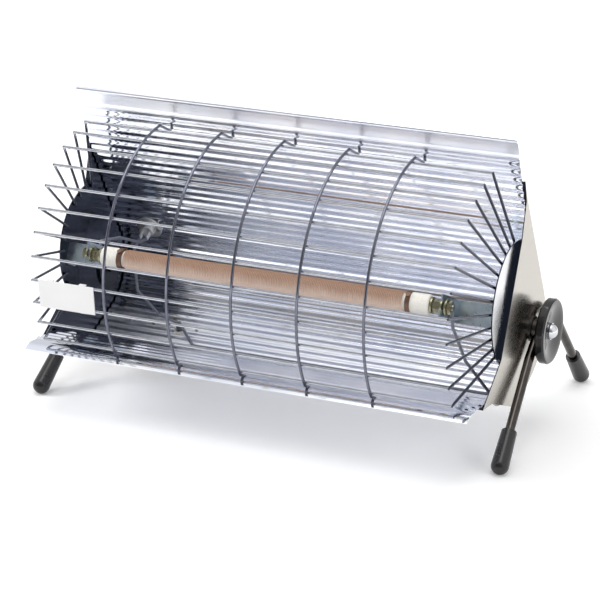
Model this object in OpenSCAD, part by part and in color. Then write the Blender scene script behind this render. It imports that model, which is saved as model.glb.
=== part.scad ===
// Radiant rod heater: a fluted reflector trough with a wire guard, tilting on two wire stands.
// Front is -Y, up is +Z, and the origin is on the floor under the middle of the whole heater.
// The head is drawn square to its opening: y runs back from the opening plane and z runs up
// from the bottom lip. It is then tilted about the pivot bolts.

/* [Reflector] */
// Length of the reflector from end to end
reflector_len = 400; // [360:5:480]
// Height of the opening between the two lips, measured along its slope
opening_h = 229; // [215:1:245]
// Depth behind the opening of the bend between upper flare and upper panel
upper_bend_d = 42; // [36:1:48]
// Drop of that bend below the top lip
upper_bend_drop = 38; // [32:1:44]
// Depth behind the opening of the rearmost corner, before it is rounded
rear_corner_d = 177; // [168:1:186]
// Height of the rearmost corner above the bottom lip
rear_corner_h = 95; // [90:1:100]
// Radius of the rounded back
rear_r = 45; // [40:1:48]
// Depth behind the opening of the corner under the back
floor_corner_d = 114; // [108:1:118]
// Height of the corner under the back
floor_corner_h = 25; // [23:1:27]
// Thickness of the stainless sheet
sheet = 0.8; // [0.6:0.1:1.2]
// Distance from one flute to the next
flute_pitch = 8; // [6:0.5:10]
// Height of a flute
flute_depth = 1.6; // [1:0.1:2]
// Plain strip between the top lip and the first flute
top_margin = 12; // [8:1:20]
// Plain strip between the bottom lip and the last flute
bottom_margin = 17; // [14:1:24]
// Diameter of the bead rolled along the top lip
bead_d = 4.6; // [3.6:0.2:6]

/* [End cheeks] */
// Thickness of the cheek sheet
cheek_sheet = 0.8; // [0.6:0.1:1.2]
// Gap between the end of the reflector and the inside of the cheek
cheek_gap = 1.2; // [1:0.1:2]
// Depth of the cheek's rim over the reflector
cheek_rim = 8; // [6:1:12]
// Depth behind the opening of the cheek's straight front edge
cheek_front_d = 50; // [48:1:54]
// Distance of the guard plate's outer face inside the end of the reflector
plate_inset = 2; // [1.5:0.5:4]
// Thickness of a guard plate
plate_t = 1; // [0.8:0.1:1.5]
// Radius of the guard plate's round edge
plate_r = 53; // [50:1:56]
// How far the guard plate reaches in front of the cheek
plate_reach = 33.5; // [30:0.5:38]

/* [Guard] */
// Number of long bars
bar_count = 12; // [10:1:14]
// Diameter of the guard wire
wire_d = 2.4; // [2:0.1:3]
// Radius of the curve on which the bars lie
guard_r = 112; // [108:1:116]
// Angle of the outermost bars from the middle
guard_half_angle = 57.5; // [54:0.5:58]
// Angle of the outermost wire ends on the guard plate
fan_half_angle = 70; // [64:1:74]
// Distance of the bars' bends from the ends of the reflector
bend_inset = 15.5; // [12:0.5:20]
// Number of hoops
hoop_count = 5; // [3:2:7]
// Distance from one hoop to the next
hoop_pitch = 58; // [50:1:60]
// Length of the badge plate
badge_len = 52; // [40:1:54]
// Height of the badge plate
badge_h = 25; // [22:1:28]
// Thickness of the badge plate
badge_t = 0.8; // [0.6:0.1:1.5]
// Distance of the badge plate from the bars' left bends
badge_inset = 6.5; // [4:0.5:12]

/* [Heating rod] */
// Length of the ceramic rod
rod_len = 298; // [270:2:300]
// Diameter of the wound part of the ceramic
core_d = 14; // [12:0.5:16]
// Diameter of the plain ceramic ends
collar_d = 17; // [16:0.5:20]
// Length of a plain ceramic end
collar_len = 16; // [12:1:20]
// Turns of the heating wire
winding_turns = 90; // [60:1:92]
// Diameter of the coiled heating wire
winding_d = 1.2; // [0.8:0.1:1.4]
// Width of a terminal band
band_w = 4; // [3:0.5:6]
// Depth of the rod behind the opening
rod_d = 8; // [4:1:14]
// Height of the rod above the bottom lip
rod_h = 90; // [86:1:96]
// Diameter of the terminal studs
stud_d = 6; // [5:0.5:6]
// Width of a terminal nut across its flats
nut_af = 10; // [9:0.5:11]
// Diameter of a terminal nut's flange
nut_flange_d = 14; // [12:0.5:16]
// Thickness of the bracket sheet
bracket_t = 1.2; // [1:0.1:1.6]
// Width of the brackets
bracket_w = 19; // [16:1:24]
// Length of a bracket from the guard plate to the rod's clip
bracket_len = 37; // [30:1:38]
// Depth behind the opening of the bracket's strap
strap_d = 32; // [30:1:36]

/* [Stand] */
// Tilt of the opening from upright, as it stands
tilt = 26; // [15:1:40]
// Depth of the pivot behind the opening
pivot_d = 121.8; // [115:0.2:126]
// Height of the pivot above the bottom lip
pivot_h = 92; // [86:1:98]
// Height of the pivot above the floor
pivot_z = 87; // [84:1:100]
// Diameter of the stand rod
leg_d = 8; // [6:0.5:9]
// Distance of the front foot from the pivot
front_reach = 107.7; // [96:0.1:120]
// Distance of the back foot from the pivot
back_reach = 109.6; // [100:0.1:120]
// Slope of the back leg
back_slope = 49; // [46:1:56]
// Radius of the bend over the pivot
bend_r = 18; // [12:1:18]
// How far the feet stand outside the hubs
splay = 5.5; // [2:0.5:8]
// Diameter of the rubber feet at the floor
foot_d = 15; // [13:0.5:18]
// Diameter of the rubber feet at the top
foot_top_d = 13; // [12:0.5:16]
// Length of a rubber foot
foot_len = 40; // [30:1:46]

/* [Pivot and knob] */
// Diameter of the pivot bolt
bolt_d = 6; // [5:0.5:7]
// Diameter of the plates that stiffen the cheeks at the pivots
pivot_plate_d = 40; // [34:1:44]
// Diameter of the stand's hub
hub_d = 18; // [15:1:22]
// Thickness of the friction washer
washer_t = 1.1; // [0.8:0.1:1.6]
// Diameter of the friction washer
washer_d = 22; // [18:1:26]
// Diameter of the clamp knob
knob_d = 56; // [50:1:60]
// Thickness of the clamp knob
knob_t = 8; // [7:0.5:12]
// Depth of the dish in the knob's face
dish_depth = 3; // [2:0.5:4]
// Diameter of the domed nut
nut_d = 14; // [12:0.5:16]

/* [Electrical parts] */
// Diameter of the sleeved leads
lead_d = 2.6; // [2:0.1:3]
// Diameter of the cut-out's flange
cutout_d = 24; // [20:1:26]
// Diameter of the hole for the mains lead
inlet_d = 8; // [6:0.5:9]
// Length of the terminal cover
cover_len = 56; // [50:1:70]
// Height of the terminal cover
cover_h = 20; // [18:1:24]

/* [Hidden] */
$fn = 48;

// Clearances
touch = 0.05;     // between sheets and wires of one body that lie on each other
run = 0.06;       // radial, on the pivot bolt
face_run = 0.1;   // between faces that turn on each other
rim_fit = 0.2;    // between the reflector and a cheek's rim, which is rolled in short flats
knob_clear = 0.6; // between the back of the knob and the stand rod

half_len = reflector_len / 2;
cheek_in = half_len + cheek_gap;
cheek_out = cheek_in + cheek_sheet;
plate_out = half_len - plate_inset;
plate_in = plate_out - plate_t;

// The reflector's outline: corners from the top lip round the back to the bottom lip, with
// the radius of each, as [depth, height, radius].
lip_reach = 5;
lip_rise = 6.5;
corners = [
    [0, opening_h, 0],
    [upper_bend_d, opening_h - upper_bend_drop, 18],
    [rear_corner_d, rear_corner_h, rear_r],
    [floor_corner_d, floor_corner_h, 22],
    [45, 22, 15],
    [1, lip_rise, 3],
    [-lip_reach, 0, 0]];
last = len(corners) - 1;
function corner(i) = [corners[i][0], corners[i][1]];
function unit(v) = v / norm(v);
function heading(i) = unit(corner(i + 1) - corner(i));
function left_of(v) = [-v[1], v[0]];
function turned(v, w) = atan2(v[0] * w[1] - v[1] * w[0], v * w);
function bend(i) = i == 0 || i == last ? 0 : turned(heading(i - 1), heading(i));
function cut_back(i) = corners[i][2] * tan(abs(bend(i)) / 2);
function run_len(i) = norm(corner(i + 1) - corner(i)) - cut_back(i) - cut_back(i + 1);
function arc_len(i) = corners[i][2] * abs(bend(i)) * PI / 180;
// Length along the outline at which the straight that follows corner i starts.
function start(i) = i == 0 ? 0 : start(i - 1) + run_len(i - 1) + arc_len(i);
path_len = start(last - 1) + run_len(last - 1);
starts = [for (i = [0 : last - 1]) start(i)];
function piece_at(s, i) = i == last - 1 || s < starts[i + 1] - arc_len(i + 1)
    || s < starts[i + 1] ? i : piece_at(s, i + 1);
// Heading and place on the outline at length s. Where s runs past the straight, it is on
// the arc round the next corner.
function past(s, i) = max(0, s - starts[i] - run_len(i));
function turn_at(s, i) = i == last - 1 ? 0 : sign(bend(i + 1)) * past(s, i) / corners[i + 1][2] * 180 / PI;
function spin2(v, a) = [v[0] * cos(a) - v[1] * sin(a), v[0] * sin(a) + v[1] * cos(a)];
function dir_at(s) = let (i = piece_at(s, 0)) spin2(heading(i), turn_at(s, i));
function at(s) = let (i = piece_at(s, 0), h = heading(i), a = turn_at(s, i),
        p = corner(i) + h * (cut_back(i) + min(s - starts[i], run_len(i))))
    past(s, i) == 0 || i == last - 1 ? p
    : let (side = sign(bend(i + 1)), c = p + side * corners[i + 1][2] * left_of(h))
        c - side * corners[i + 1][2] * left_of(spin2(h, a));
// The path runs clockwise round the trough seen with the front on the left, so outwards is
// on its left.
function outward(s) = left_of(dir_at(s));

// Flutes: rounded waves that press the sheet inwards between the plain margins.
flute_count = floor((path_len - top_margin - bottom_margin) / flute_pitch);
flute_end = top_margin + flute_count * flute_pitch;
function wave(s) = s < top_margin || s > flute_end ? 0
    : flute_depth / 2 * (1 - cos(360 * (s - top_margin) / flute_pitch));
flute_steps = 6;
sheet_stations = concat([0, top_margin / 2],
    [for (k = [0 : flute_count * flute_steps]) top_margin + k * flute_pitch / flute_steps],
    [for (k = [1 : 4]) flute_end + (path_len - flute_end) * k / 4]);
function off(s, d) = at(s) + d * outward(s);
function ribbon(stations, outer, inner) = concat([for (s = stations) off(s, outer)],
    [for (i = [len(stations) - 1 : -1 : 0]) off(stations[i], inner)]);
crest_in = flute_depth + sheet;

// The guard's curve, about its own centre in the section
guard_c = [57.5, opening_h / 2 - 8];
bend_x = half_len - bend_inset;
plate_c = [cheek_front_d - plate_reach + plate_r, guard_c[1]];
plate_chord = sqrt(plate_r * plate_r - pow(plate_c[0] - cheek_front_d, 2));

// Pivot stack along X, outwards from the cheek
bolt_r = bolt_d / 2;
washer_out = cheek_out + washer_t;
hub_in = washer_out + face_run;
hub_t = leg_d + 0.6;
leg_x = hub_in + hub_t / 2;
hub_out = hub_in + hub_t;
knob_in = leg_x + leg_d / 2 + knob_clear;
knob_out = knob_in + knob_t;
knob_seat = knob_out - dish_depth;
pivot_plate_t = 2;
bolt_head_h = 3;
bolt_head_in = cheek_in - pivot_plate_t - bolt_head_h;

// Feet
foot_r = foot_d / 2;
foot_flat = 0.3;
foot_z = foot_r - foot_flat - pivot_z;

// Where the head's front and the back foot lie from the pivot, for a centred origin
guard_out_r = guard_r + 1.5 * wire_d + touch;
front_y = (guard_c[0] - pivot_d) * cos(tilt) + (guard_c[1] - pivot_h) * sin(tilt) - guard_out_r;
back_y = back_reach + foot_r;
pivot_y = -(front_y + back_y) / 2;

// Rod
core_r = core_d / 2;
collar_r = collar_d / 2;
rod_half = rod_len / 2;
collar_in = rod_half - collar_len;
band_in = collar_in - band_w;
winding_r = (core_r + touch + winding_d / 2) / cos(22.5);
stud_r = stud_d / 2;
clip_x = plate_in - bracket_len;
clip_out = clip_x + bracket_t;
lug_t = 0.8;
nut_t = 5;
tongue_t = 0.6;

// Places along the outline, as lengths from the top lip
cheek_top_s = 41;
cheek_bottom_s = path_len - 33;
cutout_s = starts[1] + run_len(1) - 15;
cutout_x = -168;
cover_s = starts[2] + run_len(2) / 2;
cover_x = -140;
cover_w = 30;
cover_t = 1;
inlet_flange_r = inlet_d / 2 + 3.5;
inlet_x = cover_len / 2 - cover_t - inlet_flange_r - 1.5;
inlet_z = cover_h / 2;
bush_x = cover_x + inlet_x;

steel = [0.86, 0.87, 0.89];
chrome = [0.72, 0.73, 0.75];
black = [0.08, 0.08, 0.09];
white = [0.94, 0.94, 0.92];
brass = [0.78, 0.66, 0.38];

// Tools of the trade

// Stands what is drawn in the head's own frame at its tilt on the pivot.
module head() {
    translate([0, pivot_y, pivot_z]) rotate([-tilt, 0, 0])
        translate([0, -pivot_d, -pivot_h]) children();
}

// Stands what is drawn about the pivot axis, without the tilt.
module on_pivot() {
    translate([0, pivot_y, pivot_z]) children();
}

// Turns a section drawn as [depth, height] into a solid between two places along X.
module along_x(x0, x1) {
    translate([x0, 0, 0]) rotate([90, 0, 90]) linear_extrude(x1 - x0) children();
}

module rod_x(x0, x1, r) {
    translate([x0, 0, 0]) rotate([0, 90, 0]) cylinder(h = x1 - x0, r = r);
}

// Seats children on the crests inside the reflector at length s and place x, with +Z
// pointing into the trough.
module seat(s, x) {
    p = off(s, -crest_in - touch);
    d = dir_at(s);
    translate([x, p[0], p[1]]) rotate([atan2(d[1], d[0]), 0, 0]) mirror([0, 0, 1]) children();
}

// The same outside, with +Z pointing away from the trough.
module seat_out(s, x, d) {
    p = off(s, d);
    v = dir_at(s);
    translate([x, p[0], p[1]]) rotate([atan2(v[1], v[0]), 0, 0]) children();
}

// Moves to a, with +Z pointing at b.
module aim(a, b) {
    v = b - a;
    translate(a) rotate([0, acos(v[2] / norm(v)), atan2(v[1], v[0])]) children();
}

// A straight round bar from a to b, and the round joint between two such bars. The joint is
// a hair thicker than the bars, so that all three are one solid.
joint_proud = 0.05;
module link(a, b, r) {
    aim(a, b) cylinder(h = norm(b - a), r = r);
}
module joint(p, r) {
    translate(p) sphere(r = r + joint_proud);
}

// A round wire through a list of points
module wire(points, r) {
    for (i = [1 : len(points) - 1]) link(points[i - 1], points[i], r);
    for (i = [1 : len(points) - 2]) joint(points[i], r);
}

module both_ends() {
    children();
    mirror([1, 0, 0]) children();
}

// Reflector and cheeks

rivet_r = 1.6;
rivet_s = [starts[1] + run_len(1) / 2, starts[2] + 12, starts[3] + run_len(3) / 2];
rivet_x = half_len - 4;

module rivet_holes() {
    for (s = rivet_s, side = [-1, 1])
        seat_out(s, side * rivet_x, -crest_in - 1) cylinder(h = crest_in + 3, r = rivet_r);
}

// Guard

function hoop_x(i) = (i - (hoop_count - 1) / 2) * hoop_pitch;
hoop_r = guard_r + wire_d + touch;
hook_up = 60.4;
hook_down = 58.5;
hook_past = 4;
flare_slope = upper_bend_d / upper_bend_drop;
hook_top = guard_c + hoop_r * [-cos(hook_up), sin(hook_up)];
hook_bottom = guard_c + hoop_r * [-cos(hook_down), -sin(hook_down)];
hook_top_end = (opening_h - hook_top[1]) * flare_slope + hook_past;
lower_flare = corners[4] - corners[5];
hook_bottom_end = corners[5][0] + (hook_bottom[1] - lip_rise) * lower_flare[0] / lower_flare[1]
    + 1.5 * hook_past;
hook_hole_r = wire_d / 2 + 0.2;

module hook_hole(x, end_d, z) {
    translate([x, end_d - 3 * hook_past, z]) rotate([-90, 0, 0])
        cylinder(h = 4 * hook_past, r = hook_hole_r);
}
module hook_holes() {
    for (i = [0 : hoop_count - 1]) {
        hook_hole(hoop_x(i), hook_top_end, hook_top[1]);
        hook_hole(hoop_x(i), hook_bottom_end, hook_bottom[1]);
    }
}

module reflector() {
    color(steel) head() difference() {
        union() {
            along_x(-half_len, half_len) polygon(concat(
                [for (s = sheet_stations) off(s, -wave(s))],
                [for (i = [len(sheet_stations) - 1 : -1 : 0])
                    off(sheet_stations[i], -wave(sheet_stations[i]) - sheet)]));
            translate([0, 0, opening_h]) rod_x(-half_len, half_len, bead_d / 2);
        }
        rivet_holes();
        hook_holes();
        seat(cutout_s, cutout_x) cutout_screw_holes();
        seat_out(cover_s, cover_x, -crest_in - 1) cover_holes(crest_in + 3);
    }
}

// A cheek is a shallow pan: a flat plate with a rim that laps over the reflector, and a
// straight lip along its front edge that lands on the guard plate.
front_top = [cheek_front_d, guard_c[1] + plate_chord];
front_bottom = [cheek_front_d, guard_c[1] - plate_chord];
front_shoulder = [upper_bend_d + 2, opening_h - upper_bend_drop - 3];
rim_steps = 60;
rim_stations = [for (k = [0 : rim_steps])
    cheek_top_s + (cheek_bottom_s - cheek_top_s) * k / rim_steps];

module end_cheek() {
    difference() {
        union() {
            along_x(cheek_in, cheek_out) polygon(concat(
                [for (s = rim_stations) off(s, cheek_sheet + rim_fit)],
                [front_bottom, front_top, front_shoulder]));
            along_x(cheek_out - cheek_rim, cheek_in)
                polygon(ribbon(rim_stations, cheek_sheet + rim_fit, rim_fit));
            along_x(plate_out, cheek_in) translate(front_bottom)
                square([cheek_sheet, 2 * plate_chord]);
        }
        rivet_holes();
        translate([0, pivot_d, pivot_h]) rod_x(cheek_in - 1, cheek_out + 1, bolt_r + 0.1);
    }
}
module end_cheek_right() { color(steel) head() end_cheek(); }
module end_cheek_left() { color(steel) head() mirror([1, 0, 0]) end_cheek(); }

// Domed rivets that hold each cheek's rim to the reflector
module cheek_rivets() {
    color(steel) head() for (s = rivet_s, side = [-1, 1])
        seat_out(s, side * rivet_x, cheek_sheet + rim_fit) {
            intersection() {
                translate([0, 0, -2.4]) sphere(r = 3.9);
                cylinder(h = 3, r = 3);
            }
            translate([0, 0, -crest_in - cheek_sheet]) cylinder(h = crest_in + cheek_sheet + 0.2,
                r = rivet_r - touch);
        }
}

// The half-moon plate on which the guard's wires end. Its two tabs reach out to the cheek.
plate_back_d = cheek_front_d + 12;
bracket_rivet_z = [-5.5, 5.5];
bracket_rivet_d = strap_d + 10;
module guard_plate() {
    difference() {
        union() {
            along_x(plate_in, plate_out) intersection() {
                translate(plate_c) circle(r = plate_r);
                translate([0, plate_c[1] - plate_r]) square([plate_back_d, 2 * plate_r]);
            }
            for (side = [-1, 1]) along_x(plate_out, cheek_in)
                translate([cheek_front_d + 3, plate_c[1] + side * 30 - 6]) square([7, 12]);
        }
        for (z = bracket_rivet_z) translate([0, bracket_rivet_d, rod_h + z])
            rod_x(plate_in - 1, plate_out + 1, rivet_r);
    }
}
module guard_plate_right() { color(white) head() guard_plate(); }
module guard_plate_left() { color(white) head() mirror([1, 0, 0]) guard_plate(); }

// Each bar runs straight between its two bends and then turns back to its place on the
// round edge of the guard plate.
fan_r = plate_r - 4;
function bar_angle(k) = guard_half_angle * (1 - 2 * k / (bar_count - 1));
function fan_angle(k) = fan_half_angle * (1 - 2 * k / (bar_count - 1));
function on_circle(c, r, a) = [c[0] - r * cos(a), c[1] + r * sin(a)];
module grille_bar(k) {
    p = on_circle(guard_c, guard_r, bar_angle(k));
    e = on_circle(plate_c, fan_r, fan_angle(k));
    end_x = plate_in - wire_d / 2 - touch;
    wire([[-end_x, e[0], e[1]], [-bend_x, p[0], p[1]], [bend_x, p[0], p[1]],
        [end_x, e[0], e[1]]], wire_d / 2);
}

// The bars are drawn in three groups, from the top down.
function bar_group(k) = floor(3 * k / bar_count);
module grille_bars(group) {
    color(chrome) head() for (k = [0 : bar_count - 1]) if (bar_group(k) == group) grille_bar(k);
}
module grille_bars_upper() { grille_bars(0); }
module grille_bars_middle() { grille_bars(1); }
module grille_bars_lower() { grille_bars(2); }

// The hoops cross in front of the bars. Their ends are turned back into holes in the flares.
module hoop() {
    r = wire_d / 2;
    translate([0, guard_c[0], guard_c[1]]) rotate([0, 90, 0]) rotate([0, 0, -90 - hook_up])
        rotate_extrude(angle = hook_up + hook_down, $fn = 180) translate([hoop_r, 0])
            circle(r = r, $fn = 24);
    top = [0, hook_top[0], hook_top[1]];
    bottom = [0, hook_bottom[0], hook_bottom[1]];
    joint(top, r);
    link(top, [0, hook_top_end, hook_top[1]], r);
    joint(bottom, r);
    link(bottom, [0, hook_bottom_end, hook_bottom[1]], r);
}

// The hoops left of the middle one, the middle one, and those right of it
module grille_hoops(side) {
    color(chrome) head() for (i = [0 : hoop_count - 1]) if (sign(hoop_x(i)) == side)
        translate([hoop_x(i), 0, 0]) hoop();
}
module grille_hoops_left() { grille_hoops(-1); }
module grille_hoop_middle() { grille_hoops(0); }
module grille_hoops_right() { grille_hoops(1); }

// A bare plate on two of the lower bars, with ears folded down outside them
badge_k = 8.5;
bar_step = 2 * guard_half_angle / (bar_count - 1);
badge_out = guard_r * cos(bar_step / 2) + wire_d / 2 + touch;
ear_w = 6;
ear_inset = 8;
ear_gap = 0.5;
ear_drop = wire_d + 0.6;
ear_in = guard_r * sin(bar_step / 2) + wire_d / 2 + ear_gap;
ear_out = ear_in + badge_t;
module badge_plate() {
    color(white) head() translate([badge_inset - bend_x, guard_c[0], guard_c[1]])
        rotate([90 - bar_angle(badge_k), 0, 0]) translate([0, 0, badge_out]) {
            translate([0, -badge_h / 2, 0]) cube([badge_len, badge_h, badge_t]);
            for (x = [ear_inset, badge_len - ear_inset - ear_w]) translate([x, 0, 0]) {
                translate([0, -ear_out, 0]) cube([ear_w, 2 * ear_out, badge_t]);
                for (y = [-ear_out, ear_in]) translate([0, y, -ear_drop])
                    cube([ear_w, badge_t, ear_drop + badge_t]);
            }
        }
}

// Heating rod

module on_rod() {
    head() translate([0, rod_d, rod_h]) children();
}

band_screw_r = 1.2;
band_screw_depth = 3;
module band_screw_hole() {
    translate([band_in + band_w / 2, 0, 0]) rotate([60, 0, 0])
        translate([0, 0, core_r - band_screw_depth])
            cylinder(h = 2 * band_screw_depth + collar_r - core_r, r = band_screw_r + touch);
}

module ceramic_rod() {
    chamfer = 1;
    profile = [[0, -rod_half], [collar_r - chamfer, -rod_half], [collar_r, -rod_half + chamfer],
        [collar_r, -collar_in], [core_r, -collar_in], [core_r, collar_in],
        [collar_r, collar_in], [collar_r, rod_half - chamfer], [collar_r - chamfer, rod_half],
        [0, rod_half]];
    color(white) on_rod() difference() {
        rotate([0, 90, 0]) rotate_extrude() polygon(profile);
        both_ends() {
            rod_x(rod_half - 10, rod_half + 1, stud_r + touch);
            band_screw_hole();
        }
    }
}

// The heating wire: one close coil from band to band. It is a tube of six sides with eight
// rings to a turn, and each end runs straight into its band.
rings_a_turn = 8;
straight = 2 * winding_d;
coil_half = band_in - straight;
coil_rings = winding_turns * rings_a_turn;
function coil_point(k) = let (a = 360 * k / rings_a_turn)
    [-coil_half + 2 * coil_half * k / coil_rings, winding_r * cos(a), winding_r * sin(a)];
coil_end_a = 360 * winding_turns;
winding_path = concat([[-band_in, winding_r, 0], [-band_in + winding_d, winding_r, 0]],
    [for (k = [0 : coil_rings]) coil_point(k)],
    [[band_in - winding_d, winding_r * cos(coil_end_a), winding_r * sin(coil_end_a)],
        [band_in, winding_r * cos(coil_end_a), winding_r * sin(coil_end_a)]]);
rings = len(winding_path);
function tangent(i) = i == 0 || i == rings - 1 ? [1, 0, 0]
    : unit(unit(winding_path[i + 1] - winding_path[i]) + unit(winding_path[i] - winding_path[i - 1]));
function ring(i) = let (p = winding_path[i], r = unit([0, p[1], p[2]]), b = cross(tangent(i), r))
    [for (a = [0 : 60 : 300]) p + winding_d / 2 * (cos(a) * r + sin(a) * b)];
least_gap = min([for (i = [0 : 3 * rings_a_turn], j = [i + 4 : i + rings_a_turn + 4])
    norm(winding_path[j] - winding_path[i])]) - winding_d;
echo(winding_least_gap_mm = least_gap);

module element_winding() {
    sides = 6;
    points = [for (i = [0 : rings - 1], p = ring(i)) p];
    walls = [for (i = [0 : rings - 2], k = [0 : sides - 1])
        let (a = i * sides + k, b = i * sides + (k + 1) % sides)
            each [[a, b + sides, b], [a, a + sides, b + sides]]];
    first = [for (k = [1 : sides - 2]) [0, k, k + 1]];
    base = (rings - 1) * sides;
    end = [for (k = [1 : sides - 2]) [base, base + k + 1, base + k]];
    color([0.72, 0.48, 0.36]) on_rod() polyhedron(points, concat(walls, first, end));
}

// Each band clamps an end of the winding. Its tongue runs along the back of the ceramic to
// the stud in the rod's end.
band_r = collar_r + touch + tongue_t;
tongue_w = 4;
module terminal_bands() {
    color([0.3, 0.3, 0.31]) on_rod() both_ends() difference() {
        union() {
            rod_x(band_in, collar_in, band_r);
            translate([band_in, collar_r + touch, -tongue_w / 2])
                cube([rod_half + tongue_t - band_in, tongue_t, tongue_w]);
            translate([rod_half, 0, -tongue_w / 2]) cube([tongue_t, band_r, tongue_w]);
            rod_x(rod_half, rod_half + tongue_t, stud_r + 2);
        }
        rod_x(band_in - 1, collar_in + 1, core_r + touch);
        rod_x(rod_half - 1, rod_half + 1, stud_r + touch);
        band_screw_hole();
    }
}

module band_screws() {
    color([0.25, 0.25, 0.26]) on_rod() both_ends() translate([band_in + band_w / 2, 0, 0])
        rotate([60, 0, 0]) {
            translate([0, 0, band_r]) cylinder(h = 1.6, r = 1.9);
            translate([0, 0, core_r - band_screw_depth + 0.5])
                cylinder(h = band_r - core_r + band_screw_depth, r = band_screw_r);
        }
}

stud_end = clip_out + lug_t + nut_t + 1.5;
module terminal_studs() {
    color(steel) on_rod() both_ends() rod_x(rod_half - 10, stud_end, stud_r);
}

// A flanged hexagon nut that faces away from the middle, or towards it when turned
module flange_nut(turned) {
    rotate([0, turned ? -90 : 90, 0]) difference() {
        union() {
            cylinder(h = 1.5, r = nut_flange_d / 2);
            cylinder(h = nut_t, r = nut_af / sqrt(3), $fn = 6);
        }
        translate([0, 0, -1]) cylinder(h = nut_t + 2, r = stud_r + touch);
    }
}
module terminal_nuts() {
    color(brass) on_rod() both_ends() {
        translate([rod_half + tongue_t, 0, 0]) flange_nut(false);
        translate([clip_x, 0, 0]) flange_nut(true);
        translate([clip_out + lug_t, 0, 0]) flange_nut(false);
    }
}

// A bracket folded from strip: a foot on the guard plate, a strap, and a clip whose open
// slot takes the stud.
clip_front_d = rod_d - 11;
module bracket() {
    slot_w = stud_d + 0.4;
    foot_len = 17;
    translate([0, 0, rod_h - bracket_w / 2]) difference() {
        union() {
            translate([plate_in - bracket_t, strap_d, 0]) cube([bracket_t, foot_len, bracket_w]);
            translate([clip_x, strap_d, 0]) cube([bracket_len, bracket_t, bracket_w]);
            translate([clip_x, clip_front_d, 0])
                cube([bracket_t, strap_d + bracket_t - clip_front_d, bracket_w]);
        }
        translate([clip_x - 1, rod_d, bracket_w / 2]) rod_x(0, bracket_t + 2, slot_w / 2);
        translate([clip_x - 1, clip_front_d - 1, (bracket_w - slot_w) / 2])
            cube([bracket_t + 2, rod_d - clip_front_d + 1, slot_w]);
        for (z = bracket_rivet_z) translate([0, bracket_rivet_d, bracket_w / 2 + z])
            rod_x(plate_in - bracket_t - 1, plate_in + 1, rivet_r);
    }
}
module bracket_right() { color(steel) head() bracket(); }
module bracket_left() { color(steel) head() mirror([1, 0, 0]) bracket(); }
module bracket_rivets() {
    color(steel) head() both_ends() for (z = bracket_rivet_z)
        translate([0, bracket_rivet_d, rod_h + z]) {
            rod_x(plate_in - bracket_t - 1.2, plate_in - bracket_t, 2.6);
            rod_x(plate_in - bracket_t, plate_out, rivet_r - touch);
        }
}

// Electrical parts behind the rod

cutout_screw_x = 9;
module cutout_screw_holes() {
    for (x = [-cutout_screw_x, cutout_screw_x])
        translate([x, 0, -crest_in - 2]) cylinder(h = crest_in + 4, r = 1.3);
}
blade_x = 3.5;
blade_h = 14;
module thermal_cutout() {
    color(steel) head() seat(cutout_s, cutout_x) difference() {
        union() {
            cylinder(h = 1, r = cutout_d / 2);
            cylinder(h = 7, r = 6.6);
            for (x = [-blade_x, blade_x]) translate([x - 0.4, -2.4, 6])
                cube([0.8, 4.8, blade_h - 6]);
        }
        cutout_screw_holes();
    }
}
module cutout_screws() {
    color(steel) head() seat(cutout_s, cutout_x) for (x = [-cutout_screw_x, cutout_screw_x])
        translate([x, 0, 0]) {
            translate([0, 0, 1]) cylinder(h = 1.4, r = 2.2);
            translate([0, 0, -crest_in - 1.5]) cylinder(h = crest_in + 2.5, r = 1.25);
        }
}

// The terminal block sits outside, under the back, in a small sheet cover.
block_x = -10;
block_size = [20, 16, 11];
earth_x = 8;
earth_y = -8;
bush_r = 5;
module cover_holes(h) {
    for (x = [-1, 1]) translate([x * (cover_len / 2 + 5), 0, 0]) cylinder(h = h, r = 1.5);
    translate([bush_x - cover_x, bush_y, 0]) cylinder(h = h, r = bush_r + touch);
    translate([block_x, 0, 0]) cylinder(h = h, r = 1.5);
    translate([earth_x, earth_y, 0]) cylinder(h = h, r = 2);
}
module in_cover(d) {
    head() seat_out(cover_s, cover_x, d) children();
}
pole_x = [-6, 6];
module terminal_block() {
    color(white) in_cover(touch) difference() {
        translate([block_x - block_size[0] / 2, -block_size[1] / 2, 0]) cube(block_size);
        for (x = pole_x) translate([block_x + x, -block_size[1], 6]) rotate([-90, 0, 0])
            cylinder(h = 2 * block_size[1], r = 2.5);
        for (x = pole_x, y = [-4, 4]) translate([block_x + x, y, 6]) cylinder(h = 10, r = 1.6);
        translate([block_x, 0, -1]) cylinder(h = 20, r = 1.6);
    }
}
module block_terminals() {
    color(brass) in_cover(touch) {
        for (x = pole_x) {
            difference() {
                translate([block_x + x, -7, 6]) rotate([-90, 0, 0]) cylinder(h = 14, r = 2.45);
                translate([block_x + x, -8, 6]) rotate([-90, 0, 0]) cylinder(h = 16, r = 1.4);
            }
            for (y = [-4, 4]) translate([block_x + x, y, 8.6]) cylinder(h = 2, r = 1.5);
        }
        translate([block_x, 0, -crest_in - 1]) cylinder(h = crest_in + 12, r = 1.4);
        translate([block_x, 0, 11]) cylinder(h = 1.4, r = 2.6);
    }
}
module lead_bush() {
    color(white) in_cover(-crest_in - 1.5) translate([bush_x - cover_x, bush_y, 0]) difference() {
        union() {
            cylinder(h = crest_in + 4, r = bush_r);
            translate([0, 0, crest_in + 1.5 + touch]) cylinder(h = 1.5, r = bush_r + 1.5);
        }
        translate([0, 0, -1]) cylinder(h = 12, r = 3.6);
    }
}
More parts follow.
